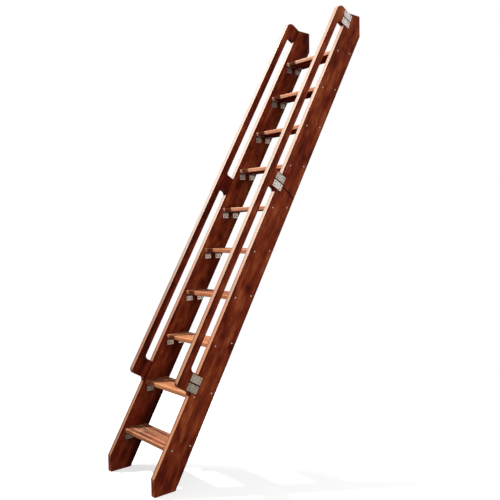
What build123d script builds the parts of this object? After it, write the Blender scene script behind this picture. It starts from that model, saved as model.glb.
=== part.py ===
from build123d import *
import math
import os

# Leaning wooden ladder for a high bunk bed: two plank stringers, plain board treads, and on each side
# a handrail sawn from one board, in line with the stringer and joined to it by steel mending plates.
# Millimetres, +X across the ladder from left to right as it is climbed, +Y from the climber towards
# the bed, +Z up. The origin is the middle of the left stringer's foot, on the floor.

# Climb
lean_deg = 30.0              # the stringers lean this far from upright
tread_count = 10
tread_rise = 250.0           # from one tread's top to the next
first_tread_height = 225.0   # floor to the first tread's top
top_above_tread = 245.0      # the last tread's top to the level cut at the top of the stringers

# Stringers
stringer_width = 155.0       # across the plank, square to its length
board_thickness = 32.0       # stringers and handrails are the same board
clear_width = 424.0          # between the stringers, and so the length of a tread
foot_length = 126.0          # level cut that stands on the floor, behind the upright toe cut
top_flat = 103.0             # level cut at the top, in front of the upright cut on the bed's side
board_easing = 2.0           # rounding of the long sawn edges

# Treads
tread_depth = 140.0
tread_thickness = 25.0
tread_setback = 15.0         # front of the tread behind the stringer's front edge, at the tread's top
nosing_radius = 5.0
tread_easing = 2.0           # rounding of the tread's back edges

# Handrails
grip_gap = 57.0              # hand space between the stringer and the bar
bar_width = 44.0
rail_start = 563.0           # lower end of the rail, measured up the stringer's front edge from floor level
bottom_arm = 104.0           # length of each arm along the stringer
middle_arm = 105.0
top_arm = 100.0
middle_arm_start = 1813.0    # lower edge of the middle arm, measured as rail_start is
lower_slot_radii = (22.0, 25.0)   # lower and upper inner corner of the lower hand slot, beside the bar
upper_slot_radii = (15.0, 30.0)   # the same of the upper hand slot
top_corner_radius = 45.0
bottom_corner_radius = 25.0
flare_radius = 24.0          # hollow under the bottom and middle arms, where they widen to the stringer
flare_angle = 70.0

# Mending plates, in pairs over each joint of an arm and the stringer
plate_length = 70.0          # across the joint
plate_width = 42.0
plate_thickness = 2.0
plate_pitch = 50.0           # between the two plates of a pair
plate_corner = 2.0
plate_hole_across = 44.0     # hole spacing over the joint
plate_hole_along = 22.0
top_plate_turn = 6.0         # the top pairs sit this many degrees askew of the joint

# Corner brackets, a front and a back one under each end of each tread
bracket_width = 43.0
bracket_leg = 39.0
bracket_thickness = 2.5
bracket_bend = 2.0           # inner bend radius
bracket_front_inset = 25.0   # tread front to the middle of the front bracket
bracket_back_inset = 35.0    # tread back to the middle of the back bracket
bracket_hole_spacing = 20.0
bracket_hole_height = 27.0   # from the outside of the bend to the holes of either leg

# Countersunk holes of plates and brackets
screw_hole = 4.5
screw_head = 8.4

same_place = 0.01            # edges nearer to a plane than this lie on it

LEAN = math.radians(lean_deg)
run_per_rise = math.tan(LEAN)
level_width = stringer_width / math.cos(LEAN)       # stringer measured level, front to back
front_at_floor = foot_length / 2 - level_width      # where the front edge's line would reach the floor
left_plane = 0.0
right_plane = clear_width + board_thickness
top_height = first_tread_height + (tread_count - 1) * tread_rise + top_above_tread
rail_end = top_height / math.cos(LEAN)              # the rail ends at the stringer's top front corner
rail_board = grip_gap + bar_width


def front_edge(z):
    """Y of the stringer's front edge at height z."""
    return front_at_floor + z * run_per_rise


def side_plane(x):
    """Plane of a side at x: local X runs up the stringer's front edge, local Y stands out in front of it."""
    return Plane(origin=(x, front_at_floor, 0), x_dir=(0, math.sin(LEAN), math.cos(LEAN)), z_dir=(1, 0, 0))


def block(length_from, length_to, out_from, out_to):
    """Rectangle in a side plane, from its limits up the stringer and out from its front edge."""
    size = (length_to - length_from, out_to - out_from)
    return Pos((length_from + length_to) / 2, (out_from + out_to) / 2) * Rectangle(*size)


def stringer(x):
    toe_y = foot_length / 2 - foot_length
    toe_z = (toe_y - front_at_floor) / run_per_rise
    bed_y = front_edge(top_height) + top_flat
    bed_z = (bed_y - front_at_floor - level_width) / run_per_rise
    outline = Polyline(
        (toe_y, 0),
        (foot_length / 2, 0),
        (bed_y, bed_z),
        (bed_y, top_height),
        (front_edge(top_height), top_height),
        (toe_y, toe_z),
        close=True,
    )
    plank = extrude(Plane.YZ * make_face(outline), board_thickness / 2, both=True)
    along_board = Axis((0, 0, 0), (0, math.sin(LEAN), math.cos(LEAN)))
    return Pos(x, 0, 0) * fillet(plank.edges().filter_by(along_board), board_easing)


def flare(edge_at):
    """Sawn hollow that widens an arm's lower edge towards the stringer."""
    height = flare_radius * math.sin(math.radians(flare_angle))
    width = flare_radius * (1 - math.cos(math.radians(flare_angle)))
    hollow = Pos(edge_at - flare_radius, height) * Circle(flare_radius)
    return block(edge_at - width, edge_at, 0, height) - hollow


def handrail(x):
    slots = (
        (rail_start + bottom_arm, middle_arm_start, lower_slot_radii),
        (middle_arm_start + middle_arm, rail_end - top_arm, upper_slot_radii),
    )
    outline = block(rail_start, rail_end, 0, rail_board)
    for start, end, radii in slots:
        slot = block(start, end, 0, grip_gap)
        for corner, radius in zip((start, end), radii):
            beside_bar = slot.vertices().sort_by_distance((corner, grip_gap, 0))[0]
            slot = fillet(beside_bar, radius)
        outline -= slot
    for corner, radius in ((rail_start, bottom_corner_radius), (rail_end, top_corner_radius)):
        outline = fillet(outline.vertices().sort_by_distance((corner, rail_board, 0))[0], radius)
    for edge_at in (rail_start, middle_arm_start):
        outline += flare(edge_at)
    rail = extrude(outline, board_thickness / 2, both=True)
    on_joint = rail.edges().filter_by(lambda e: abs(e.center().Y) < same_place)
    arrises = rail.edges().filter_by(lambda e: abs(abs(e.center().Z) - board_thickness / 2) < same_place)
    return side_plane(x) * fillet(arrises - on_joint, board_easing)


def tread_front(number):
    """Y of a tread's front face and Z of its top."""
    top = first_tread_height + (number - 1) * tread_rise
    return front_edge(top) + tread_setback, top


def tread(number):
    front, top = tread_front(number)
    board = Box(clear_width, tread_depth, tread_thickness, align=(Align.MIN, Align.MIN, Align.MAX))
    along = board.edges().filter_by(Axis.X)
    board = fillet(along.group_by(Axis.Y)[0], nosing_radius)
    board = fillet(board.edges().filter_by(Axis.X).group_by(Axis.Y)[-1], tread_easing)
    return Pos(left_plane + board_thickness / 2, front, top) * board


def screw_cut(depth):
    """Cutter for a countersunk hole: the head's cone starts at Z = 0 and the hole runs down."""
    sink = (screw_head - screw_hole) / 2
    cone = Cone(screw_hole / 2, screw_head / 2, sink, align=(Align.CENTER, Align.CENTER, Align.MAX))
    shaft = Cylinder(screw_hole / 2, 2 * depth)
    return cone + shaft


def bracket():
    """One corner bracket with its outer corner at the origin: a leg along +X under the tread, a leg down."""
    outline = Polyline(
        (0, 0),
        (bracket_leg, 0),
        (bracket_leg, -bracket_thickness),
        (bracket_thickness, -bracket_thickness),
        (bracket_thickness, -bracket_leg),
        (0, -bracket_leg),
        close=True,
    )
    angle = extrude(Plane.XZ * make_face(outline), bracket_width / 2, both=True)
    along = angle.edges().filter_by(Axis.Y)
    angle = fillet(along.sort_by_distance((bracket_thickness, 0, -bracket_thickness))[0], bracket_bend)
    angle = fillet(angle.edges().filter_by(Axis.Y).sort_by_distance((0, 0, 0))[0], bracket_bend)
    for side in (-1, 1):
        y = side * bracket_hole_spacing / 2
        under = Pos(bracket_hole_height, y, -bracket_thickness) * Rot(180, 0, 0)
        inward = Pos(bracket_thickness, y, -bracket_hole_height) * Rot(0, 90, 0)
        angle -= under * screw_cut(bracket_thickness)
        angle -= inward * screw_cut(bracket_thickness)
    return angle


def bracket_pair(number, side):
    """Front and back bracket under one end of a tread, on the left (-1) or right (1) stringer."""
    front, top = tread_front(number)
    places = (front + bracket_front_inset, front + tread_depth - bracket_back_inset)
    one = bracket()
    if side > 0:
        one = mirror(one, Plane.YZ)
    inner_face = left_plane + board_thickness / 2 if side < 0 else right_plane - board_thickness / 2
    return Compound(children=[Pos(inner_face, y, top - tread_thickness) * one for y in places])


def plate():
    """One mending plate, flat on Z = 0 with its heads up: local Y crosses the joint."""
    blank = extrude(RectangleRounded(plate_width, plate_length, plate_corner), plate_thickness)
    for along in (-1, 1):
        for across in (-1, 1):
            place = Pos(along * plate_hole_along / 2, across * plate_hole_across / 2, plate_thickness)
            blank -= place * screw_cut(plate_thickness)
    return blank


def plate_pair(arm_middle, turn, side):
    """The two plates over an arm's joint, on the outer face of the left (-1) or right (1) side."""
    centre = left_plane if side < 0 else right_plane
    face = side_plane(centre + side * board_thickness / 2)
    if side < 0:
        face = Plane(origin=face.origin, x_dir=face.x_dir, z_dir=(-1, 0, 0))
    one = plate()
    pair = face * Pos(arm_middle, 0, 0) * Rot(0, 0, side * turn)
    return Compound(children=[pair * Pos(place, 0, 0) * one for place in (-plate_pitch / 2, plate_pitch / 2)])


def arms():
    """Middle of each arm, measured up the stringer's front edge, and the turn of its plates."""
    return {
        "bottom": (rail_start + bottom_arm / 2, 0.0),
        "middle": (middle_arm_start + middle_arm / 2, 0.0),
        "top": (rail_end - top_arm / 2, top_plate_turn),
    }


parts = {}
for side_name, side, x in (("left", -1, left_plane), ("right", 1, right_plane)):
    parts[f"{side_name}_stringer"] = stringer(x)
    parts[f"{side_name}_handrail"] = handrail(x)
    for number in range(1, tread_count + 1):
        parts[f"{side_name}_brackets_{number:02d}"] = bracket_pair(number, side)
    for arm_name, (middle, turn) in arms().items():
        parts[f"{side_name}_{arm_name}_plates"] = plate_pair(middle, turn, side)
for number in range(1, tread_count + 1):
    parts[f"tread_{number:02d}"] = tread(number)

os.makedirs("parts", exist_ok=True)
for name, shape in parts.items():
    export_step(shape, f"parts/{name}.step")
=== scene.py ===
# %% [markdown]
# # A bunk bed ladder
# The real ladder is two leaning planks with ten board treads between them and a handrail on each side.
# Everything is softwood, stained a deep red-brown and varnished, and it is held together by zinc-plated
# corner brackets, flat mending plates and screws. The solid pieces come ready-made in the frame, at their
# real size. This lesson gives every piece its finish, models the screws, and sets up the floor, the
# light and the camera.

# %% The frame
import bmesh
import bpy
import math
import random
from mathutils import Euler, Matrix, Vector


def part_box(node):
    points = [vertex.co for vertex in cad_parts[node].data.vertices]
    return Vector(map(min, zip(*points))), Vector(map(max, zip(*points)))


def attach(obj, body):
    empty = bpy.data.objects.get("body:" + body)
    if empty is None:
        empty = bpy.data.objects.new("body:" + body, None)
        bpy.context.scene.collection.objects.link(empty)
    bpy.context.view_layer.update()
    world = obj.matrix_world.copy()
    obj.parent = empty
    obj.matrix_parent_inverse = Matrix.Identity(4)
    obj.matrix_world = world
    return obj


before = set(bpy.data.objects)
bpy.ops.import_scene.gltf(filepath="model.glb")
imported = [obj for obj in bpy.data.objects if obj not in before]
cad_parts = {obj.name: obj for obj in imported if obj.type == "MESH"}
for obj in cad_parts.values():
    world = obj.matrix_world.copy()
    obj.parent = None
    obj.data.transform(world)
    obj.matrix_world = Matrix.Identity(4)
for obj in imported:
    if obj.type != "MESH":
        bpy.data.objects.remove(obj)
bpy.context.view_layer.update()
bpy.ops.object.select_all(action="DESELECT")
print("pieces in the frame:", len(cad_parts))

# %% [markdown]
# ## Measuring the ladder
# Everything that follows is laid out along the leaning boards, so the lean is measured first. The treads
# climb in a straight line, and the step from the first tread's box to the last one's gives the lean and
# the rise. The stringers' boxes give the thickness of the boards. Measuring the frame, instead of typing
# the sizes in again, keeps the finish in place when the ladder is made in another size.

# %% Lean, rise and board sizes
MM = 0.001
tread_names = sorted(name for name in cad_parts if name.startswith("tread_"))
first_low, first_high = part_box(tread_names[0])
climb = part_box(tread_names[-1])[0] - first_low
rise = climb.z / (len(tread_names) - 1)
lean = math.atan2(climb.y, climb.z)
up = Vector((0, math.sin(lean), math.cos(lean)))
out = Vector((0, -math.cos(lean), math.sin(lean)))
sides = {"left": -1, "right": 1}
planks = {side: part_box(f"{side}_stringer") for side in sides}
thickness = planks["left"][1].x - planks["left"][0].x
middle = {side: (planks[side][0].x + planks[side][1].x) / 2 for side in sides}
tread_size = first_high - first_low
print("lean in degrees:", round(math.degrees(lean), 2), "rise:", round(rise, 3))
print("board thickness:", round(thickness, 4), "tread:", [round(side, 3) for side in tread_size])

# %% [markdown]
# The front edge of each stringer is the line to measure along. Its foot, where the line would meet the
# floor, is the zero of every board. The farthest point of the stringer's mesh out in front gives that
# line, and the same sort of reach gives each board's front, back and ends.

# %% The zero of the boards
def reach(node, direction):
    """Least and most distance of a piece's mesh along a direction from the world's origin, in metres."""
    distances = [vertex.co.dot(direction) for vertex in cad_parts[node].data.vertices]
    return min(distances), max(distances)


front_zero = -reach("left_stringer", out)[1] / math.cos(lean)


def on_side(x, along=0.0, outward=0.0):
    """Point at x, so far up the stringer's front edge from the floor and so far out in front of it."""
    return Vector((x, front_zero, 0)) + up * along + out * outward


def board_depths(node):
    """A board's front and back, in millimetres behind the line of the stringers' front edge."""
    line = on_side(0).dot(out)
    least, most = reach(node, out)
    return (line - most) / MM, (line - least) / MM


def board_ends(node):
    """A board's lower and upper end, in millimetres up the line."""
    foot = on_side(0).dot(up)
    least, most = reach(node, up)
    return (least - foot) / MM, (most - foot) / MM


print("front edge meets the floor at y =", round(front_zero, 4))
for node in ("left_stringer", "left_handrail"):
    print(node, "front and back:", [round(depth, 1) for depth in board_depths(node)])
    print(node, "ends:", [round(end) for end in board_ends(node)])

# %% [markdown]
# ## Writing shader maths in Python
# A finish such as stained wood is a long sum of patterns. Built node by node it takes pages, so one small
# class wraps a socket and lets Python's operators add the Math nodes. Most patterns are masks, which run
# from 0 to 1: ramp makes one from a distance, and between turns one into a range of its own.

# %% The socket class
class Field:
    """A value that changes over a surface; operators add Math nodes, or Vector Math on a vector."""

    def __init__(self, finish, socket):
        self.finish = finish
        self.socket = socket

    def maths(self, operation, *others):
        vector = self.socket.type == "VECTOR"
        kind = "ShaderNodeVectorMath" if vector else "ShaderNodeMath"
        values = [(v,) * 3 if vector and isinstance(v, (int, float)) else v for v in others]
        return self.finish.add(kind, {"operation": operation}, dict(enumerate([self, *values])))

    def __add__(self, other):
        return self.maths("ADD", other)

    def __sub__(self, other):
        return self.maths("SUBTRACT", other)

    def __mul__(self, other):
        return self.maths("MULTIPLY", other)

    def __truediv__(self, other):
        return self.maths("DIVIDE", other)

    def __pow__(self, other):
        return self.maths("POWER", other)

    def __abs__(self):
        return self.maths("ABSOLUTE")

    def __rsub__(self, other):
        return self * -1 + other

    __radd__ = __add__
    __rmul__ = __mul__

    def ramp(self, start, end):
        """0 at start and 1 at end, with a soft turn at both."""
        settings = {"interpolation_type": "SMOOTHSTEP"}
        return self.finish.add("ShaderNodeMapRange", settings, {0: self, 1: start, 2: end})

    def between(self, low, high):
        """A mask stretched so that its 0 becomes low and its 1 becomes high."""
        return self * (high - low) + low

    def towards(self, direction):
        """How much of a vector points in a direction."""
        settings = {"operation": "DOT_PRODUCT"}
        return self.finish.add("ShaderNodeVectorMath", settings, {0: self, 1: direction}, "Value")

    def axes(self):
        return [self.finish.add("ShaderNodeSeparateXYZ", {}, {0: self}, axis) for axis in "XYZ"]


print("socket class ready: Field")

# %% [markdown]
# A second class holds a material and has one method that adds any other node: its type, its settings,
# then its sockets. Noise and the mixing of two colours come up so often that they get a method each.

# %% The material class
class Finish:
    """One material, with its Principled shader and the nodes that feed it."""

    def __init__(self, name, constants):
        self.material = bpy.data.materials.new(name)
        self.material.use_nodes = True
        self.tree = self.material.node_tree
        self.shader = self.tree.nodes["Principled BSDF"]
        for socket, value in constants.items():
            self.shader.inputs[socket].default_value = value

    def add(self, kind, settings, sockets, output=0):
        node = self.tree.nodes.new(kind)
        for setting, value in settings.items():
            if setting == "stops":
                self.set_stops(node.color_ramp, value)
            else:
                setattr(node, setting, value)
        for socket, value in sockets.items():
            if isinstance(value, Field):
                self.tree.links.new(value.socket, node.inputs[socket])
            else:
                node.inputs[socket].default_value = value
        return Field(self, node.outputs[output])

    def set_stops(self, ramp, stops):
        for place, _ in stops[2:]:
            ramp.elements.new(place)
        for element, (place, shade) in zip(ramp.elements, sorted(stops)):
            element.position = place
            element.color = shade

    def noise(self, vector, detail):
        return self.add("ShaderNodeTexNoise", {}, {"Vector": vector, "Scale": 1.0, "Detail": detail})

    def mix(self, factor, first, second):
        return self.add("ShaderNodeMix", {"data_type": "RGBA"}, {0: factor, 6: first, 7: second}, 2)

    def feed(self, socket, value):
        self.tree.links.new(value.socket, self.shader.inputs[socket])


print("material class ready: Finish")

# %% [markdown]
# Colours are easiest to judge as they appear on a screen, from 0 to 255. The shader wants them linear, so
# a helper converts them.

# %% Colours
def colour(red, green, blue):
    """A screen colour, 0 to 255, as the linear colour that a shader takes."""
    levels = [level / 255 for level in (red, green, blue)]
    return [((v + 0.055) / 1.055) ** 2.4 if v > 0.04045 else v / 12.92 for v in levels] + [1.0]


print("white in linear light:", colour(255, 255, 255))

# %% [markdown]
# ## Stained softwood
# A board is a slice through a tree. Its growth rings are nested tubes round the heart of the trunk, so
# the shader makes tubes: the distance from a line beside the board, bent a little by noise, cut into
# rings. Faces, edges and end grain then agree with each other, as they do on real wood. Branches leave
# knots, where the rings swerve. The stain sinks into the soft wood between the rings, streaks along the
# fibres, and pools darkly round knots. An image of wood could not follow the grain round an edge, so
# this is the better way.
# Each board has its own zero, turned with the board: X through its thickness, Y from its front edge to
# its back, Z along it, all in millimetres. A noise that is squeezed along Z comes out drawn along the
# fibres.

# %% The board's own axes
SEED_WAY = (1.0, 0.7, 1.3)   # a board's seed moves its noises this way


def board_axes(finish, zero, turn):
    """The board's own coordinates in millimetres, as one vector."""
    place = finish.add("ShaderNodeTexCoord", {}, {}, "Object")
    sockets = {"Vector": place, "Location": zero, "Rotation": turn, "Scale": (MM, MM, MM)}
    return finish.add("ShaderNodeMapping", {"vector_type": "TEXTURE"}, sockets)


def drawn_out(board, stretch, seed, detail=2.0):
    """Noise in a board, 0 to 1, with its own scale along each axis."""
    shift = [seed * part for part in SEED_WAY]
    return board.finish.noise(board * stretch + shift, detail)


def length(first, second):
    """Length of the line whose two square parts are given."""
    return (first * first + second * second) ** 0.5


def bell(square):
    """1 where a squared distance is 0, falling softly to 0 as it grows."""
    return (square * -1).maths("EXPONENT")


print("board helpers ready: board_axes, drawn_out, length, bell")

# %% [markdown]
# The rings come from the heart of the tree, which a sawn board has somewhere beside it. Late wood ends a
# year's growth with a thin dark line, so each ring darkens slowly and then stops short. A knot is longer
# along the board than across it, since the saw cuts the branch at a slant.

# %% Growth rings and knots
PITH_OUT = -70.0             # the heart of the tree lies this far from the board's middle plane, in mm
PITH_BACK = 60.0             # and this far behind the line of the front edges
PITH_LEAN = 0.012            # the board runs away from the heart by this share of its length
RING_STEP = 5.5              # thickness of a year's growth
RING_DRIFT = 30              # the rings wander this far to either side
RING_WAVES = (0.006, 0.006, 0.0016)
LATE_WOOD = (0.25, 0.95)     # a ring darkens between these shares of its thickness
RING_STOP = (1.0, 0.96)      # and its dark line ends between these
KNOT_SWERVE = 16             # the rings swerve this far round a knot
KNOT_SPREAD = 0.35           # the greater, the closer to the knot the swerve stays
KNOT_STRETCH = 1.5           # a knot's length over its width
KNOT_RAGGED = 0.7            # its rim is ragged by this many radii
KNOT_NOISE = (0.07, 0.07, 0.04)


def from_knot(board, knot):
    """How far a point is from a knot's middle, in knot radii."""
    along, depth, radius = knot
    _, y, z = board.axes()
    ragged = drawn_out(board, KNOT_NOISE, along).between(-KNOT_RAGGED, KNOT_RAGGED)
    return length((z - along) / (radius * KNOT_STRETCH), (y - depth) / radius) + ragged


def growth_rings(board, seed, distances):
    """Pale early wood at 0, rising to the dark line of late wood at 1, ring after ring."""
    x, y, z = board.axes()
    drift = drawn_out(board, RING_WAVES, seed, 1.0).between(-RING_DRIFT, RING_DRIFT)
    radius = length(x - PITH_OUT + z * PITH_LEAN, y - PITH_BACK + drift)
    for distance in distances:
        radius = radius + bell(distance * distance * KNOT_SPREAD) * KNOT_SWERVE
    ring = (radius / RING_STEP).maths("FRACT")
    return ring.ramp(*LATE_WOOD) * ring.ramp(*RING_STOP)


print("ring step:", RING_STEP, "mm")

# %% [markdown]
# Besides knots, a board has patches where the stain took more or less, a few of which are painted shade
# where a shadow falls, and now and then a drying check, a fine dark crack. Each is one soft shape at a
# stated place: so far up the board, so far behind its front.
# The stain also gathers in the narrow gap between the two plates of a pair, and dark rings go round the
# heads of the screws, which repeat up the board with the treads: pooled stain and painted contact shadow.

# %% Patches and checks
CHECK_WANDER = 14            # a check wanders to either side by less than this, in mm
CHECK_TAPER = 5              # its ends fade this far to either side
CHECK_RIM = (9.0, 2.5)       # its darkness begins and is full this far from its middle
SCREW_RIM = (9.5, 5.5)       # the same of the ring round a screw
GAP_RIM = (8.0, 3.5)         # and of the stripe between two plates
GAP_REACH = (44, 36)         # the stripe ends between these distances from the joint


def patch(y, z, ragged, along, depth, half_length, half_width):
    """1 in the middle of a soft oval, 0 outside it; ragged bends its rim."""
    lengthwise = (z - along) / half_length + ragged
    crosswise = (y - depth) / half_width + ragged
    return bell(lengthwise * lengthwise + crosswise * crosswise)


def check(y, z, ragged, near, far):
    """A crack from one point to another, each given along the board and behind its front."""
    slope = (far[0] - near[0]) / (far[1] - near[1])
    aside = abs(z - (near[0] - near[1] * slope) - y * slope + ragged * CHECK_WANDER)
    begun = y.ramp(near[1] - CHECK_TAPER, near[1] + CHECK_TAPER)
    not_ended = y.ramp(far[1] + CHECK_TAPER, far[1] - CHECK_TAPER)
    return aside.ramp(*CHECK_RIM) * begun * not_ended


def screw_stain_and_shade(y, z, first, depth, pitch):
    """Dark rings of pooled stain and painted contact shadow round screw heads that repeat up the board, the
    first at the given place.
    """
    nearest = (((z - first) / pitch + 0.5).maths("FRACT") - 0.5) * pitch
    return length(nearest, y - depth).ramp(*SCREW_RIM)


def plate_gap(y, z, along, slope):
    """The dark stripe between the two plates of a pair, where stain gathers against their edges."""
    return abs(z - along + y * slope).ramp(*GAP_RIM) * abs(y).ramp(*GAP_REACH)


print("board marks ready: patch, check, screw_stain_and_shade, plate_gap")

# %% [markdown]
# Now the stain over that wood. Its darkness is one number, the tone, from 0 for the darkest brown to 1 for
# the palest, and a colour ramp turns it into a colour. Streaks, blotches and clouds make up most of it,
# and the fibres and rings a little. Each is the same noise, drawn out along the board in its own way.

# %% The stain's tone
STAIN = (
    (0.00, colour(46, 10, 7)),
    (0.30, colour(106, 35, 19)),
    (0.55, colour(147, 61, 34)),
    (0.80, colour(184, 96, 54)),
    (1.00, colour(210, 136, 88)),
)
FIBRE = (0.7, 0.7, 0.018)
STREAK = (0.07, 0.07, 0.0024)
BLOTCH = (0.02, 0.02, 0.0065)
CLOUD = (0.032, 0.032, 0.018)
GRAIN_SHARES = {"streak": 0.44, "blotch": 1.0, "cloud": 0.5, "fibre": 0.16, "rings": -0.07}
MIDDLE_TONE = 0.55           # taken off the sum of those shares, so that the tone falls on the ramp
KNOT_DARK = ((2.6, 0.5, 0.2), (1.0, 0.3, 0.14))  # begins and is full at so many radii, and how dark


def wood_grain(board, seed, distances):
    """The patterns of one board, each from 0 to 1. distances are those from its knots."""
    return {
        "rings": growth_rings(board, seed, distances),
        "fibre": drawn_out(board, FIBRE, seed),
        "streak": drawn_out(board, STREAK, seed),
        "blotch": drawn_out(board, BLOTCH, seed),
        "cloud": drawn_out(board, CLOUD, seed),
    }


def grain_tone(grain, distances, light):
    """The tone from the grain and the knots; light makes the whole board paler."""
    tone = light - MIDDLE_TONE
    for pattern, share in GRAIN_SHARES.items():
        tone = grain[pattern] * share + tone
    for distance in distances:
        for begins, full, amount in KNOT_DARK:
            tone = tone - distance.ramp(begins, full) * amount
    return tone


print("stain stops:", len(STAIN))

# %% [markdown]
# The marks are laid over that tone. Those round the fittings belong on the outer face only, and a mask
# that fades just inside the face keeps them there.

# %% Marks in the stain
PATCH_RAGGED = 0.8           # the rim of a patch wanders by this share of its size
OUTER_FACE = (4, 2)          # the stain round fittings begins and is full this far inside the face
CHECK_DARK = 0.42
GAP_DARK = 0.4
SCREW_DARK = 0.3


def marked_tone(tone, x, y, z, half, cloud, marks):
    """The tone with a board's patches and checks, the stain round its plates, and the dark rings round its
    screws, which are pooled stain and painted contact shadow.
    """
    ragged = cloud.between(-PATCH_RAGGED, PATCH_RAGGED)
    for *place, amount in marks.get("patches", ()):
        tone = tone + patch(y, z, ragged, *place) * amount
    for ends in marks.get("checks", ()):
        tone = tone - check(y, z, ragged, *ends) * CHECK_DARK
    if "outward" in marks:
        outer_face = (x * marks["outward"]).ramp(half - OUTER_FACE[0], half - OUTER_FACE[1])
        for place in marks["plates"]:
            tone = tone - outer_face * plate_gap(y, z, *place) * GAP_DARK
        # dark rings round the screws: pooled stain and painted contact shadow
        for place in marks["screws"]:
            tone = tone - outer_face * screw_stain_and_shade(y, z, *place) * SCREW_DARK
    return tone


print("a check darkens the tone by", CHECK_DARK)

# %% [markdown]
# ## Wear
# Hands polish the front edges and wear the stain thin there, the more the higher they are, but the left
# arris of the lower part stays dark. Feet do the same to a tread's rounded front. Its upper arris is worn
# more and painted paler, a painted highlight where the rounding catches the light, and a band near its
# left end is left darker, a painted shadow of the handrail. Each is a mask from 0 to 1 on the board's own
# axes, because wear and painted light sit on edges and corners, where noise alone could not put it.

# %% Wear of the edges
EDGE_WEAR = (700, 1700)      # wear of the front edges grows between these heights up the board, in mm
EDGE_FLAT = (0.6, 2.2)       # it begins and is full this far inside the faces
EDGE_DEPTH = (11, 2)         # and this far behind the front
EDGE_STREAKS = (0.3, 0.6)    # streaks below the first leave it weak, and above the second strong
EDGE_STRENGTH = (0.8, 0.95)
DARK_ARRIS = (7, 11)         # the dark arris is this wide
ARRIS_KEEPS = 0.3            # share of the wear that it has
ARRIS_CLEARED = 0.8          # how far it has given way high up
SEAM = 12                    # a thin darker line runs this far inside the left face
SEAM_RIM = (3.0, 1.0)
SEAM_KEEPS = 0.7
NOSE_DEPTH = (6, 2)          # the wear of a tread's front begins and is full this far behind it
NOSE_FOOT = (0.5, -2)        # and this far below the tread's lower edge
HIGHLIT_ARRIS = (9, 4)         # the upper arris is worn more and painted paler, as a highlight, this far below the top
ARRIS_HIGHLIGHT = 0.32
NOSE_STREAKS = (0.3, 0.65)
NOSE_STRENGTH = (0.45, 0.61)
RAIL_SHADOW_MIDDLE = 52               # a painted shadow of the handrail on a tread's front is darkest this far from its left end
RAIL_SHADOW_RIM = (20, 38)     # and fades out this far to either side
RAIL_SHADOW_KEEPS = 0.34


def edge_wear(x, y, z, half, front, streak):
    """Polish by hands along a board's front edge, 0 to 1."""
    flat = abs(x).ramp(half - EDGE_FLAT[0], half - EDGE_FLAT[1])
    edge = flat * y.ramp(front + EDGE_DEPTH[0], front + EDGE_DEPTH[1])
    high_up = z.ramp(*EDGE_WEAR) * ARRIS_CLEARED
    past_arris = x.ramp(DARK_ARRIS[0] - half, DARK_ARRIS[1] - half).maths("MAXIMUM", high_up)
    seam = abs(x + half - SEAM).ramp(*SEAM_RIM)
    uneven = streak.ramp(*EDGE_STREAKS).between(*EDGE_STRENGTH)
    return edge * uneven * past_arris.between(ARRIS_KEEPS, 1.0) * seam.between(1.0, SEAM_KEEPS)


def nose_wear(x, y, z, half, streak):
    """Wear by feet on a tread's rounded front, 0 to 1: most on its upper arris, which also carries a
    painted highlight, and least in a band near its left end, a painted shadow of the handrail.
    """
    nose = y.ramp(*NOSE_DEPTH) * x.ramp(half + NOSE_FOOT[0], half + NOSE_FOOT[1])
    # painted highlight, with wear, on the upper arris where the rounding catches the light
    arris_highlight = x.ramp(HIGHLIT_ARRIS[0] - half, HIGHLIT_ARRIS[1] - half) * ARRIS_HIGHLIGHT
    uneven = streak.ramp(*NOSE_STREAKS).between(*NOSE_STRENGTH)
    # painted shadow of the handrail: less wear, so a darker front, in a band near the left end
    trodden = abs(z - RAIL_SHADOW_MIDDLE).ramp(*RAIL_SHADOW_RIM).between(RAIL_SHADOW_KEEPS, 1.0)
    return nose * (arris_highlight + uneven) * trodden


print("wear of the edges grows between heights", EDGE_WEAR)

# %% [markdown]
# The two kinds of board differ in where they wear. A plank shows it on its front edge, and the varnish
# there shines the more it is rubbed. A tread shows it on the front and scuffed over the top, with grey
# grime along the grain and bare patches between, while its underside is painted darker, as shade under
# the tread.
# Each helper gives back the tone, the wear, the gloss, and a mask that picks between two worn colours.

# %% Planks and treads
PLANK_WEAR = 0.84            # a plank's edge is never worn further than this
PLANK_GLOSS = (0.3, 0.6)     # shine of the worn edge low down and high up
OLD_VARNISH = 0.02           # and of all the rest
FRONT_DEPTH = (12, 3)        # an unworn front is darker; this begins and is full this far behind it
FRONT_DARK = 0.2
TOP_DEPTH = (1.5, 0.5)       # a tread's top begins and is full this far below it
TOP_STREAKS = (0.35, 0.6)
TOP_SCUFFED = (0.09, 0.46)
TOP_GLOSS, WORN_GLOSS = 0.08, 0.16
DOWN = (0, 0, -1)
FACING_DOWN = (0.3, 0.9)     # how far a face looks down to count as the underside, not at all and fully
UNDERSIDE_SHADE = 0.14
GRIMY = colour(104, 74, 70)
BARE = colour(226, 184, 152)
SMEAR = (0.06, 0.12, 0.009)
GRIME_RIM, BARE_RIM = (0.5, 0.66), (0.56, 0.72)
GRIME_COVER, BARE_COVER = 0.6, 0.45


def plank_wear(tone, x, y, z, half, front, streak, sawn_end):
    """A stringer's or handrail's tone, wear and gloss, and how high up the place is, 0 to 1."""
    high_up = z.ramp(*EDGE_WEAR)
    wear = edge_wear(x, y, z, half, front, streak) * (1 - sawn_end) * PLANK_WEAR
    gloss = wear * high_up.between(*PLANK_GLOSS) + OLD_VARNISH
    unworn_front = y.ramp(front + FRONT_DEPTH[0], front + FRONT_DEPTH[1]) * (1 - wear)
    return tone - unworn_front * FRONT_DARK, wear, gloss, high_up


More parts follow.
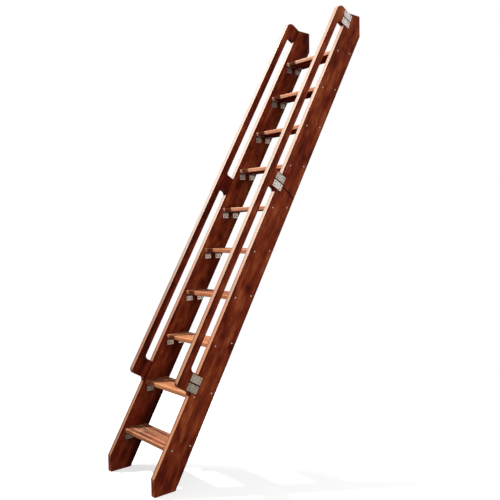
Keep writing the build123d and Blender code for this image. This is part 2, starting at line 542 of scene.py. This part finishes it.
def foot_wear(tone, x, y, z, half, streak, normal):
    """A tread's tone, wear and gloss, and whether the place is on its top, 0 or 1."""
    top = x.ramp(TOP_DEPTH[0] - half, TOP_DEPTH[1] - half)
    scuffed = top * streak.ramp(*TOP_STREAKS).between(*TOP_SCUFFED)
    wear = nose_wear(x, y, z, half, streak).maths("MAXIMUM", scuffed)
    gloss = top * TOP_GLOSS + wear * WORN_GLOSS
    # painted shade: faces that look down are darker
    underside = normal.towards(DOWN).ramp(*FACING_DOWN)
    return tone - underside * UNDERSIDE_SHADE, wear, gloss, top


def trodden_colour(base, board, seed, top):
    """A tread's colour with the grime and the bare patches of its top."""
    grime = drawn_out(board, SMEAR, seed + 5).ramp(*GRIME_RIM) * top
    bare = drawn_out(board, SMEAR, seed + 9, 4.0).ramp(*BARE_RIM) * top
    grimy = board.finish.mix(grime * GRIME_COVER, base, GRIMY)
    return board.finish.mix(bare * BARE_COVER, grimy, BARE)


print("wear helpers ready: plank_wear, foot_wear, trodden_colour")

# %% [markdown]
# Sawn ends drink the stain, and the ends further up are nearly black. The feet of the planks and the
# lowest flares of the handrails are painted pale instead, as painted light on ends that face away from
# the lamps. The normal of the solid tells where an end is: it points along the board. Backs are painted
# darker too, as shade along the back edge.

# %% The stained finish
ENDS_DARKEN = (620, 1000)    # sawn ends are painted pale below the first height, as painted light, and are dark above the second
END_GRAIN_AND_LIGHT = (0.5, -0.26)     # what that adds to the tone
TREAD_ENDS_TONE = -0.26
FACING_ALONG = (0.35, 0.85)  # how far a face looks along the board to count as a sawn end
BACK_DEPTH = (10, 2)         # the darkness of the back begins and is full this far inside it
BACK_SHADE = 0.24
RELIEF = 0.6 * MM            # the grain stands out by this much


def stained_wood(name, zero, turn, half, depths, seed, marks, worn, light=0.0, fade=None, trodden=False):
    """Stained board. half is half its thickness and depths its front and back, in mm. worn is a pair: the
    colours of a board's edge low down and high up, the upper one partly a painted sheen, or of a tread's
    front and its top. fade is two heights between which the board gets paler, and by how much."""
    finish = Finish(name, {"Specular IOR Level": 0.0 if trodden else 0.03, "Coat Roughness": 0.46})
    board = board_axes(finish, zero, turn)
    x, y, z = board.axes()
    distances = [from_knot(board, knot) for knot in marks.get("knots", ())]
    grain = wood_grain(board, seed, distances)
    tone = marked_tone(grain_tone(grain, distances, light), x, y, z, half, grain["cloud"], marks)
    if fade:
        tone = tone + z.ramp(*fade[:2]) * fade[2]

    along_board = Euler(turn).to_matrix() @ Vector((0, 0, 1))
    normal = finish.add("ShaderNodeNewGeometry", {}, {}, "True Normal")
    sawn_end = abs(normal.towards(along_board)).ramp(*FACING_ALONG)
    # painted shade along the back edge of every board
    back = y.ramp(depths[1] - BACK_DEPTH[0], depths[1] - BACK_DEPTH[1])
    tone = tone - back * (1 - sawn_end) * BACK_SHADE
    # end grain takes more stain and darkens; on the planks the lowest ends are painted pale instead, as
    # painted light
    tone = tone + sawn_end * (TREAD_ENDS_TONE if trodden else z.ramp(*ENDS_DARKEN).between(*END_GRAIN_AND_LIGHT))

    if trodden:
        tone, wear, gloss, second = foot_wear(tone, x, y, z, half, grain["streak"], normal)
    else:
        tone, wear, gloss, second = plank_wear(tone, x, y, z, half, depths[0], grain["streak"], sawn_end)
    brown = finish.add("ShaderNodeValToRGB", {"stops": STAIN}, {"Fac": tone})
    base = finish.mix(wear, brown, finish.mix(second, *worn))
    finish.feed("Base Color", trodden_colour(base, board, seed, second) if trodden else base)
    finish.feed("Roughness", 0.55 - grain["fibre"] * 0.12 + grain["rings"] * 0.08)
    finish.feed("Coat Weight", gloss)
    relief = grain["fibre"] * 0.5 - grain["rings"] * 0.5 + grain["blotch"] * 1.5
    bump = finish.add("ShaderNodeBump", {}, {"Strength": 0.35, "Distance": RELIEF, "Height": relief})
    finish.feed("Normal", bump)
    return finish.material


print("sawn ends darken between heights", ENDS_DARKEN)

# %% [markdown]
# ## The stringers and handrails
# Both are planks along the lean, so they share one zero, at the foot of the front edge. The stringer lies
# behind it and the handrail in front. Each board has its own seed, so that no two have the same grain, and
# its own marks. A knot is given as how far up the board, how far behind the front edge, and its radius; a
# patch as its place, half its length, half its width, and how much paler it is; a check as its two ends.

# %% Marks of the boards
MARKS = {
    "right_stringer": {
        "knots": ((872, 126, 13), (1217, 84, 15), (2102, 102, 13)),
        "patches": ((175, 140, 30, 12, -0.16), (190, 80, 90, 80, -0.05), (420, 78, 120, 60, 0.14),
                    (620, 70, 60, 40, 0.04), (866, 44, 26, 14, 0.16), (1160, 48, 45, 18, 0.13),
                    (1380, 75, 110, 60, 0.05), (1532, 148, 20, 14, -0.22), (2920, 80, 110, 70, -0.06),
                    (1217, 84, 60, 10, -0.10), (2075, 104, 100, 12, -0.10), (2575, 60, 50, 9, -0.12),
                    (2700, 60, 90, 40, 0.06), (2875, 55, 34, 13, -0.12)),
        "checks": (((1856, 44), (1836, 150)),),
    },
    "left_stringer": {
        "knots": ((1230, 95, 11), (1540, 88, 12)),
        "patches": ((700, 60, 40, 14, -0.08), (1930, 60, 50, 12, -0.10), (2010, 120, 40, 12, -0.08),
                    # on the next line, the second and third patches, low down at the back edge, are painted
                    # shade
                    (2620, 90, 50, 12, -0.08), (350, 158, 420, 36, -0.45), (1050, 158, 350, 26, -0.30),
                    (2940, 70, 220, 80, -0.12), (1010, 80, 90, 70, 0.06), (1830, 80, 130, 70, 0.09)),
    },
    "right_handrail": {"patches": ((700, -58, 210, 75, -0.21), (1180, -80, 40, 8, -0.10),
                                   (1975, -78, 120, 40, -0.09), (2390, -78, 40, 7, -0.10))},
    "left_handrail": {"patches": ((700, -80, 150, 60, -0.04), (1420, -82, 40, 8, -0.10),
                                  (2760, -76, 40, 7, -0.10))},
}
print("boards with marks:", len(MARKS))

# %% [markdown]
# Stain also gathers between the plates on the outer faces, and dark rings of stain and painted contact
# shadow go round the two rows of screws. Those places are worked out from the frame: the screws sit
# half-way up each tread's thickness, and each gap is in the middle of its pair of plates.

# %% Stain round the screws and plates
SCREWS_BEHIND = (0.038, 0.151)       # the screws into a tread, measured level behind the front edge, in m
TOP_PLATE_TURN = math.radians(6)     # the top plates sit this much askew
PLATE_TURNS = {"bottom": 0.0, "middle": 0.0, "top": TOP_PLATE_TURN}
screw_pitch = rise / math.cos(lean)
first_screw = (first_low.z + first_high.z) / 2 / math.cos(lean)
for side in sides:
    gaps = []
    for arm, turn in PLATE_TURNS.items():
        low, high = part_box(f"{side}_{arm}_plates")
        gaps.append((((low + high) / 2 - on_side(0)).dot(up) / MM, math.tan(turn)))
    for kind in ("stringer", "handrail"):
        MARKS[f"{side}_{kind}"] |= {"outward": sides[side], "plates": gaps, "screws": []}
    for behind in SCREWS_BEHIND:
        along = first_screw + behind * math.sin(lean)
        place = (along / MM, behind * math.cos(lean) / MM, screw_pitch / MM)
        MARKS[f"{side}_stringer"]["screws"].append(place)
print("screws repeat every", round(screw_pitch / MM), "mm, gaps at", [round(gap[0]) for gap in gaps])

# %% [markdown]
# The boards were not equally pale to begin with. The handrails get paler towards their upper ends, and
# the left stringer is paler above a metre than below. The worn edges are warm low down and greyer and
# paler high up: partly wear, and partly a painted sheen, where the upper edges catch the lamps.

# %% Boards along the lean
SEEDS = {"right_stringer": 3.1, "left_stringer": 11.7, "right_handrail": 23.9, "left_handrail": 37.3}
BOARD_LIGHT = {
    "right_stringer": 0.01,
    "left_stringer": -0.04,
    "right_handrail": -0.02,
    "left_handrail": -0.13,
}
# worn edge colours low down and high up; the paler, greyer upper colour is partly a painted sheen
WORN_EDGE_AND_SHEEN = {
    "right": (colour(212, 150, 106), colour(190, 161, 131)),
    "left": (colour(176, 128, 97), colour(192, 170, 148)),
}
half_board = thickness / MM / 2
rail_end = board_ends("left_handrail")[1]
RAIL_FADE = (rail_end - 520, rail_end - 60, 0.18)
FADES = {"left_stringer": (350, 1000, 0.11), "left_handrail": RAIL_FADE, "right_handrail": RAIL_FADE}


def dress(node, material):
    """Gives a frame piece its finish."""
    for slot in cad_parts[node].material_slots:
        slot.material = material


for side in sides:
    for kind in ("stringer", "handrail"):
        node = f"{side}_{kind}"
        wood = stained_wood(f"{node}_wood", on_side(middle[side]), (-lean, 0, 0), half_board,
                            board_depths(node), SEEDS[node], MARKS[node], WORN_EDGE_AND_SHEEN[side],
                            BOARD_LIGHT[node], FADES.get(node))
        dress(node, wood)
        print(node, "marks:", sum(len(MARKS[node].get(mark, ())) for mark in ("knots", "patches", "checks")))

# %% [markdown]
# ## The treads
# A tread's grain runs across the ladder, so its zero is turned a quarter. Feet wear the tops to a paler
# and greyer wood. The lowest two tops show best, so they have stains and bare places of their own, and
# painted shadow: the two dark patches on the left of the second tread, from the left stringer and the
# handrail's lower end, and the two dark patches at the back of the first tread's left part. A pale patch
# on the first tread's front takes out the painted shadow of the handrail there, which does not fall on
# it. Each tread has its own paleness, and the worn fronts get paler up the ladder.

# %% Treads
half_tread = tread_size.z / MM / 2
TREAD_MARKS = {
    "tread_01": {"patches": ((190, 22, 120, 6, -0.30), (300, 29, 40, 5, -0.12), (160, 50, 70, 8, 0.14),
                             (160, 66, 30, 5, -0.14), (240, 84, 30, 5, 0.14), (95, 25, 70, 22, -0.34),
                             # the first two patches below are painted shadow of the left stringer; the last
                             # is painted paler where the handrail's painted shadow does not fall
                             (110, 118, 120, 14, -0.28), (60, 80, 60, 10, -0.12), (55, 0, 34, 8, 0.24))},
    # the first and last patches of the second tread are painted shadow, of the left stringer and of the
    # handrail's lower end
    "tread_02": {"patches": ((110, 95, 150, 34, -0.34), (300, 62, 60, 14, -0.12), (20, 40, 60, 40, -0.40))},
}
TREAD_LIGHT = (-0.05, 0.36, 0.38, 0.07, 0.07, 0.13, 0.15, 0.03, -0.03, 0.18)
TOP_WORN = colour(210, 155, 116)
LOWER_NOSE, MIDDLE_NOSE, UPPER_NOSE = colour(220, 150, 104), colour(220, 163, 128), colour(222, 181, 149)
NOSE_WORN = [LOWER_NOSE] * 5 + [MIDDLE_NOSE] * 4 + [UPPER_NOSE]
FIRST_TREAD_SEED = 51.3
SEED_STEP = 7.7
for number, node in enumerate(tread_names):
    low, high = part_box(node)
    zero = Vector((low.x, low.y, (low.z + high.z) / 2))
    wood = stained_wood(f"{node}_wood", zero, (0, math.pi / 2, 0), half_tread, (0.0, tread_size.y / MM),
                        FIRST_TREAD_SEED + SEED_STEP * number, TREAD_MARKS.get(node, {}),
                        (NOSE_WORN[number], TOP_WORN), TREAD_LIGHT[number], trodden=True)
    dress(node, wood)
print("treads finished:", len(tread_names))

# %% [markdown]
# ## Zinc-plated steel
# The plates and brackets are stamped from sheet and plated with zinc: a dull grey skin with a cloudy
# mottle and fine rolling marks. Plain noise makes the mottle, and noise drawn out along the sheet makes
# the marks. The upper part of each bracket is painted brown, as shade under the tread above it, and the
# brown covers the metal.

# %% The zinc finish
MOTTLE = (0.09, 0.09, 0.09)
ROLLING = (1.4, 1.4, 0.05)
SPECKLE = (0.5, 0.5, 0.5)
DARKEST, PALEST = 0.55, 1.22         # the ends of the mottle, as shares of the middle grey
NEARLY_WHITE = 250
SHADE_MIDDLE = 0.4                   # taken off the sum of the noises, so that it falls on the ramp
METAL = (0.7, 0.9)                   # where the mottle is dark, the skin shines less like a metal
UNDER_TREAD_SHADE = colour(88, 42, 28)
SHADE_RAGGED = 3                       # the lower rim of the painted shade wanders this far up and down, in mm
SHADE_COVER = 0.85


def zinc(name, zero, turn, tone, seed, step=0.0, shaded=None):
    """Zinc plating. tone is its middle grey as a screen colour, step makes it paler above its zero, and
    stained gives the height where the brown painted shade begins and the height where it covers."""
    finish = Finish(name, {"Specular IOR Level": 0.4})
    sheet = board_axes(finish, zero, turn)
    height = sheet.axes()[2]
    cloud = drawn_out(sheet, MOTTLE, seed, 3.0)
    rolled = drawn_out(sheet, ROLLING, seed)
    speckle = drawn_out(sheet, SPECKLE, seed, 1.0)
    shade = cloud * 1.2 + rolled * 0.3 + speckle * 0.3 - SHADE_MIDDLE
    if step:
        shade = shade + height.ramp(-1, 1).between(-step / 2, step / 2)
    darkest = [level * DARKEST for level in tone]
    palest = [min(level * PALEST, NEARLY_WHITE) for level in tone]
    stops = ((0.0, colour(*darkest)), (0.5, colour(*tone)), (1.0, colour(*palest)))
    base = finish.add("ShaderNodeValToRGB", {"stops": stops}, {"Fac": shade})
    metal = cloud.between(*METAL)
    # painted shade under the tread above: the upper part of a bracket turns brown and loses its metal
    if shaded:
        shaded_top = (height + cloud.between(-SHADE_RAGGED, SHADE_RAGGED)).ramp(*shaded) * SHADE_COVER
        base = finish.mix(shaded_top, base, UNDER_TREAD_SHADE)
        metal = metal * (1 - shaded_top)
    finish.feed("Base Color", base)
    finish.feed("Roughness", 0.56 - cloud * 0.25 + rolled * 0.1)
    finish.feed("Metallic", metal)
    relief = {"Strength": 0.3, "Distance": 0.3 * MM, "Height": rolled + cloud}
    finish.feed("Normal", finish.add("ShaderNodeBump", {}, relief, "Normal"))
    return finish.material


print("zinc ready, darkest share:", DARKEST)

# %% [markdown]
# No two batches of fittings match, and the brackets have dulled more than the plates, so each piece is
# given its own grey. The plates' grey falls off towards the floor. The brackets' grey is painted palest
# near the camera's height and darker towards the floor and under the top treads, as painted reflection
# and shade.

# %% Plates and brackets
PLATE_GREY = {"bottom": (156, 145, 130), "middle": (193, 183, 175), "top": (214, 202, 199)}
PLATE_STEP = {"bottom": 0.22, "middle": -0.28, "top": 0.0}   # how much paler a pair's upper plate is
BRACKET_GREY = (216, 196, 180)
# each bracket's share of the grey is partly painted light: palest near the camera's height, darker below and
# under the top treads
BRACKET_DULL_AND_LIGHT = (0.56, 0.66, 0.92, 1.0, 0.98, 0.93, 0.80, 0.76, 0.66, 0.62)
LOWER_BRACKETS = 5           # the brackets of this many treads have the painted shade further down than the rest
LOWER_SHADED, UPPER_SHADED = (23, 31), (27, 36)    # the painted shade begins and covers at these heights, in mm
LEFT_PLATE_SHADE = 0.74             # the left side's plates are painted darker, against the full light of the key lamp
batches = random.Random(5)
for side in sides:
    for arm, grey in PLATE_GREY.items():
        node = f"{side}_{arm}_plates"
        low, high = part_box(node)
        tone = [level * (LEFT_PLATE_SHADE if side == "left" else 1.0) for level in grey]
        dress(node, zinc(f"{node}_zinc", (low + high) / 2, (-lean, 0, 0), tone, batches.uniform(0, 90),
                         PLATE_STEP[arm]))
    for number, dull_and_light in enumerate(BRACKET_DULL_AND_LIGHT, 1):
        node = f"{side}_brackets_{number:02d}"
        tone = [level * dull_and_light for level in BRACKET_GREY]
        shaded = LOWER_SHADED if number <= LOWER_BRACKETS else UPPER_SHADED
        dress(node, zinc(f"{node}_zinc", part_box(node)[0], (0, 0, 0), tone, batches.uniform(0, 90),
                         shaded=shaded))
print("plates and brackets finished:", len(sides) * (len(PLATE_GREY) + len(BRACKET_DULL_AND_LIGHT)))

# %% [markdown]
# ## Screws
# Two kinds of screw show. Raised heads sit on each stringer's outer face, two for every tread end, and
# their shanks run into the tread's end grain. Flat heads fill the countersunk holes of the plates and
# brackets. Both have a cross recess. A head is modelled as by hand, from the recess outwards: a small
# square whose four edges are extruded makes the cross, and the cross is pushed down for the recess. An
# operator acts on all that is selected, so a helper first picks the edges or faces at one place.

# %% Cutting the cross recess
WAYS = (Vector((1, 0, 0)), Vector((0, 1, 0)), Vector((-1, 0, 0)), Vector((0, -1, 0)))


def pick(piece, kind, test):
    """In edit mode, selects just the edges or faces that pass the test."""
    work = bmesh.from_edit_mesh(piece.data)
    chosen = [part for part in getattr(work, kind) if test(part)]
    for part in [*work.faces, *work.edges, *work.verts]:
        part.select_set(False)
    for part in chosen:
        part.select_set(True)
    bmesh.update_edit_mesh(piece.data)


def cut_cross(piece, slot, cross, recess):
    """Grows the square piece into a cross with the given slot width and span, and sinks it."""
    level = recess / 10
    bpy.ops.mesh.select_mode(type="EDGE")
    for way in WAYS:
        pick(piece, "edges", lambda e: all(abs(v.co.dot(way) * 2 - slot) < level and v.co.length < slot
                                           for v in e.verts))
        bpy.ops.mesh.extrude_region_move(TRANSFORM_OT_translate={"value": way * (cross - slot) / 2})
    bpy.ops.mesh.select_all(action="SELECT")
    bpy.ops.mesh.extrude_region_move(TRANSFORM_OT_translate={"value": (0, 0, -recess)})
    bpy.ops.mesh.select_mode(type="FACE")
    pick(piece, "faces", lambda f: all(abs(v.co.z) < level for v in f.verts))
    bpy.ops.mesh.delete(type="FACE")
    bpy.ops.mesh.select_mode(type="EDGE")


print("arms of the cross:", len(WAYS))

# %% [markdown]
# A circle bridged to the cross makes the flat top. Its rim is then pushed down and scaled, ring after
# ring, for the rounded edge, the underside and a stub of the shank, and one face closes the end. Shading
# is smooth over the gentle turns only, so that the recess keeps its sharp edges.

# %% Modelling a screw head
RIM_SIDES = 12               # as many as the cross has corners, so that the two bridge one to one
SMOOTH_BELOW = math.radians(40)


def screw_head(name, slot, cross, recess, rings):
    """A head on the Z axis, its top at zero. rings are the radius and height of each ring outside the
    cross."""
    level = recess / 10
    bpy.ops.object.select_all(action="DESELECT")
    bpy.ops.mesh.primitive_plane_add(size=slot)
    piece = bpy.context.object
    piece.name = name
    bpy.ops.object.mode_set(mode="EDIT")
    cut_cross(piece, slot, cross, recess)
    radius, height = rings[0]
    bpy.ops.mesh.primitive_circle_add(vertices=RIM_SIDES, radius=radius, rotation=(0, 0, math.pi / RIM_SIDES))
    pick(piece, "edges", lambda e: len(e.link_faces) < 2 and all(abs(v.co.z) < level for v in e.verts))
    bpy.ops.mesh.bridge_edge_loops()
    pick(piece, "edges", lambda e: len(e.link_faces) < 2)
    for next_radius, next_height in rings[1:]:
        bpy.ops.mesh.extrude_region_move(TRANSFORM_OT_translate={"value": (0, 0, next_height - height)})
        bpy.ops.transform.resize(value=(next_radius / radius, next_radius / radius, 1))
        radius, height = next_radius, next_height
    bpy.ops.mesh.edge_face_add()
    bpy.ops.mesh.select_all(action="SELECT")
    bpy.ops.mesh.normals_make_consistent(inside=False)
    bpy.ops.object.mode_set(mode="OBJECT")
    bpy.ops.object.shade_smooth_by_angle(angle=SMOOTH_BELOW)
    return piece


def open_edges(piece):
    """Edges that don't have two faces; a closed mesh has none."""
    shared = {}
    for face in piece.data.polygons:
        for edge in face.edge_keys:
            shared[edge] = shared.get(edge, 0) + 1
    return sum(count != 2 for count in shared.values())


RAISED_RINGS = ((0.0034, 0), (0.0043, -0.0005), (0.0046, -0.0012), (0.0046, -0.0018), (0.0018, -0.0045))
FLAT_RINGS = ((0.0039, 0), (0.0041, -0.0002), (0.0021, -0.0021), (0.0020, -0.0030))
raised = screw_head("raised_head", slot=0.0012, cross=0.0046, recess=0.0011, rings=RAISED_RINGS)
flat = screw_head("flat_head", slot=0.0011, cross=0.0040, recess=0.0010, rings=FLAT_RINGS)
for head in (raised, flat):
    print(head.name, "faces:", len(head.data.polygons), "open edges:", open_edges(head))

# %% [markdown]
# The copies go where the frame says, each at a point and facing a direction. The raised heads are the
# simplest: they sit half-way up the thickness of a tread, one near its front and one near its back.

# %% Where the raised heads go
RAISED_PROUD = 0.0016        # the raised heads stand this far off the wood


def tread_screws(side):
    """Raised heads on a stringer's outer face, into the ends of the treads."""
    outward = Vector((sides[side], 0, 0))
    face_x = middle[side] + sides[side] * thickness / 2
    for node in tread_names:
        low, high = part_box(node)
        height = (low.z + high.z) / 2
        front = front_zero + height * math.tan(lean)
        for behind in SCREWS_BEHIND:
            yield Vector((face_x, front + behind, height)) + outward * RAISED_PROUD, outward


print("raised heads on a side:", len(list(tread_screws("left"))))

# %% [markdown]
# The flat heads fill the holes of the fittings. A plate lies flat on the boards, so its holes are counted
# up the board and out from it, and the top plates' askew turn is added. A bracket has two holes in each
# leg, and they are counted from its corner.

# %% Where the flat heads go
PLATE_PITCH = 0.050
PLATE_HOLES = (0.022, 0.044)     # spacing of a plate's holes up the stringer and across the joint
BRACKET_WIDTH = 0.043
BRACKET_THICKNESS = 0.0025
BRACKET_HOLES = 0.020
BRACKET_HOLE_HEIGHT = 0.027
BOTH_WAYS = (-0.5, 0.5)


def plate_screws(side):
    """Flat heads in the holes of a side's plates."""
    outward = Vector((sides[side], 0, 0))
    for arm, turn in PLATE_TURNS.items():
        low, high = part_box(f"{side}_{arm}_plates")
        centre = (low + high) / 2
        centre.x = high.x if sides[side] > 0 else low.x
        along = up * math.cos(turn) + out * math.sin(turn)
        across = out * math.cos(turn) - up * math.sin(turn)
        for plate in BOTH_WAYS:
            for hole_up in BOTH_WAYS:
                for hole_out in BOTH_WAYS:
                    distance = plate * PLATE_PITCH + hole_up * PLATE_HOLES[0]
                    yield centre + along * distance + across * hole_out * PLATE_HOLES[1], outward


def bracket_screws(side):
    """Flat heads in both legs of a side's brackets."""
    inward = Vector((-sides[side], 0, 0))
    down = Vector(DOWN)
    for node in sorted(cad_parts):
        if not node.startswith(f"{side}_brackets_"):
            continue
        low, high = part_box(node)
        corner_x = low.x if sides[side] < 0 else high.x
        for centre_y in (low.y + BRACKET_WIDTH / 2, high.y - BRACKET_WIDTH / 2):
            for way in BOTH_WAYS:
                corner = Vector((corner_x, centre_y + way * BRACKET_HOLES, high.z))
                yield corner + inward * BRACKET_THICKNESS + down * BRACKET_HOLE_HEIGHT, inward
                yield corner + inward * BRACKET_HOLE_HEIGHT + down * BRACKET_THICKNESS, down


print("flat heads on a side:", len(list(plate_screws("left"))), "+", len(list(bracket_screws("left"))))

# %% [markdown]
# Each place gets a copy of its head with its own turn, because nobody lines screws up, and a group's
# copies are joined into one piece. The screws are plated like the fittings, so they share the zinc
# finish: bright ones in the wood, and duller ones in the plates and brackets.

# %% Placing the screws
spins = random.Random(12)


def set_screws(name, head, places, material, slot):
    """One piece with a copy of the head at each place, given as a point and the way the head faces."""
    copies = []
    for point, facing in places:
        copy = head.copy()
        copy.data = head.data.copy()
        bpy.context.collection.objects.link(copy)
        turn = facing.to_track_quat("Z", "Y").to_matrix().to_4x4()
        spin = Matrix.Rotation(spins.uniform(0, math.pi / 2), 4, "Z")
        copy.data.transform(Matrix.Translation(point) @ turn @ spin)
        copies.append(copy)
    bpy.ops.object.select_all(action="DESELECT")
    for copy in copies:
        copy.select_set(True)
    bpy.context.view_layer.objects.active = copies[0]
    bpy.ops.object.join()
    piece = bpy.context.object
    piece.name = name
    piece.data.materials.append(material)
    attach(piece, "root")
    return piece


SCREW_GREYS = {"screw_silver": (226, 200, 178), "screw_grey": (128, 120, 110), "screw_dull": (84, 76, 68)}
SCREW_SEEDS = (4.0, 6.0, 8.0)
platings = [zinc(name, (0, 0, 0), (0, 0, 0), tone, seed)
            for (name, tone), seed in zip(SCREW_GREYS.items(), SCREW_SEEDS)]
for side in sides:
    groups = (
        (f"{side}_tread_screws", raised, tread_screws(side), "bracket_steel"),
        (f"{side}_plate_screws", flat, plate_screws(side), "plate_steel"),
        (f"{side}_bracket_screws", flat, bracket_screws(side), "bracket_steel"),
    )
    for (name, head, places, slot), plating in zip(groups, platings):
        piece = set_screws(name, head, places, plating, slot)
        print(name, "faces:", len(piece.data.polygons))
for head in (raised, flat):
    bpy.data.objects.remove(head)

# %% [markdown]
# ## The studio
# The floor is plain and pale, and fades out into a white surround. A real studio would use a roll of
# paper; here a disc does, whose paint turns clear towards its rim, so that no edge shows. Its paleness is
# only for the camera and for what metal reflects: to the light it is a darker grey, which keeps it from
# lighting the ladder from below.

# %% Floor
FLOOR_RADIUS = 3.0
FLOOR_CENTRE = Vector((middle["right"] / 2, 0.6, 0))
FLOOR_FADE = (0.8, 2.7)      # the floor is gone between these distances from its centre
FLOOR_GLOW = 0.6
FLOOR_LIT, FLOOR_SEEN = colour(96, 96, 96), colour(232, 232, 232)
SEEN_RAYS = ("Is Camera Ray", "Is Glossy Ray", "Is Transmission Ray")
WHITE = (1, 1, 1, 1)
bpy.ops.object.select_all(action="DESELECT")
bpy.ops.mesh.primitive_circle_add(vertices=96, radius=FLOOR_RADIUS, fill_type="TRIFAN")
floor = bpy.context.object
floor.name = "floor"
floor.data.transform(Matrix.Translation(FLOOR_CENTRE))


def seen_white(finish):
    """1 where the surround is looked at, straight or in a reflection, and 0 where it lights the object."""
    rays = [finish.add("ShaderNodeLightPath", {}, {}, ray) for ray in SEEN_RAYS]
    return rays[0].maths("MAXIMUM", rays[1]).maths("MAXIMUM", rays[2])


paint = Finish("floor_paint", {"Roughness": 0.9, "Specular IOR Level": 0.1})
from_centre = paint.add("ShaderNodeTexCoord", {}, {}, "Object") - FLOOR_CENTRE
distance = paint.add("ShaderNodeVectorMath", {"operation": "LENGTH"}, {0: from_centre}, "Value")
camera_ray = paint.add("ShaderNodeLightPath", {}, {}, "Is Camera Ray")
paint.feed("Base Color", paint.mix(camera_ray, FLOOR_LIT, FLOOR_SEEN))
glow = paint.add("ShaderNodeEmission", {}, {"Color": WHITE, "Strength": seen_white(paint) * FLOOR_GLOW})
lit = paint.add("ShaderNodeAddShader", {}, {0: Field(paint, paint.shader.outputs[0]), 1: glow})
clear = paint.add("ShaderNodeBsdfTransparent", {}, {})
faded = paint.add("ShaderNodeMixShader", {}, {0: distance.ramp(*FLOOR_FADE), 1: lit, 2: clear})
paint.tree.links.new(faded.socket, paint.tree.nodes["Material Output"].inputs["Surface"])
floor.data.materials.append(paint.material)
print("floor radius:", FLOOR_RADIUS)

# %% [markdown]
# The surround is a sky that is white to look at, but lights the wood only softly, more from above than
# from below. A plain white world would wash out the stain, so the two are mixed by the kind of ray.

# %% Sky
SKY_HEIGHTS = (-0.35, 0.8)   # the sky brightens between these heights, from -1 below to 1 overhead
SKY_LIGHT = (0.03, 0.33)
world = bpy.data.worlds.new("soft_sky")
bpy.context.scene.world = world
world.use_nodes = True


class Sky(Finish):
    """The world's node tree, with the same means to add nodes."""

    def __init__(self, surround):
        self.tree = surround.node_tree
        self.tree.nodes.clear()


sky = Sky(world)
height = sky.add("ShaderNodeSeparateXYZ", {}, {0: sky.add("ShaderNodeTexCoord", {}, {}, "Generated")}, "Z")
strength = height.ramp(*SKY_HEIGHTS).between(*SKY_LIGHT)
ambient = sky.add("ShaderNodeBackground", {}, {"Color": WHITE, "Strength": strength})
white = sky.add("ShaderNodeBackground", {}, {"Color": WHITE, "Strength": 1.0})
surround = sky.add("ShaderNodeMixShader", {}, {0: seen_white(sky), 1: ambient, 2: white})
output = sky.tree.nodes.new("ShaderNodeOutputWorld")
sky.tree.links.new(surround.socket, output.inputs["Surface"])
print("sky ready, strength overhead:", SKY_LIGHT[1])

# %% [markdown]
# The key lamp stands high on the left in front, small enough for the handrail to throw a shadow on the
# treads. A second, softer lamp puts the sheen on the upper front edges, and a large one on the right fills
# the shade of the outer face, which is the one that the camera sees.

# %% Lamps
AIM = Vector((middle["right"] / 2, 0.7, 1.4))


def lamp(name, place, size, power):
    """A round lamp, turned to the middle of the ladder."""
    bpy.ops.object.light_add(type="AREA", location=place)
    light = bpy.context.object
    light.name = name
    light.data.shape = "DISK"
    light.data.size = size
    light.data.energy = power
    light.rotation_mode = "QUATERNION"
    light.rotation_quaternion = (AIM - Vector(place)).to_track_quat("-Z", "Y")


lamp("key_lamp", place=(-2.45, -1.47, 4.43), size=0.35, power=325)
lamp("sheen_lamp", place=(-2.17, 0.74, 4.84), size=0.8, power=70)
lamp("fill_lamp", place=(4.7, 0.0, 2.2), size=2.5, power=74)
print("lamps ready, aimed at", [round(part, 2) for part in AIM])

# %% [markdown]
# The camera stands at the right in front of the ladder, at chest height, and looks almost level. It is
# turned first round the upright, then tilted, then rolled a little, as a camera held in the hand is.

# %% Camera
CAMERA_PLACE = (3.121644, -1.675867, 1.345874)
CAMERA_HEADING = 49.5008
CAMERA_TILT = 2.0198
CAMERA_ROLL = 0.7727
CAMERA_LENS = 44.67
bpy.ops.object.camera_add(location=(0, 0, 0))
camera = bpy.context.object
camera.name = "camera"
camera.data.lens = CAMERA_LENS
camera.data.sensor_width = 36
camera.data.clip_end = 100
heading = Matrix.Rotation(math.radians(CAMERA_HEADING), 4, "Z")
tilt = Matrix.Rotation(math.radians(90 - CAMERA_TILT), 4, "X")
roll = Matrix.Rotation(math.radians(-CAMERA_ROLL), 4, "Z")
camera.matrix_world = Matrix.Translation(CAMERA_PLACE) @ heading @ tilt @ roll
bpy.context.scene.camera = camera
bpy.context.scene.view_settings.view_transform = "Standard"
print("camera at", CAMERA_PLACE)
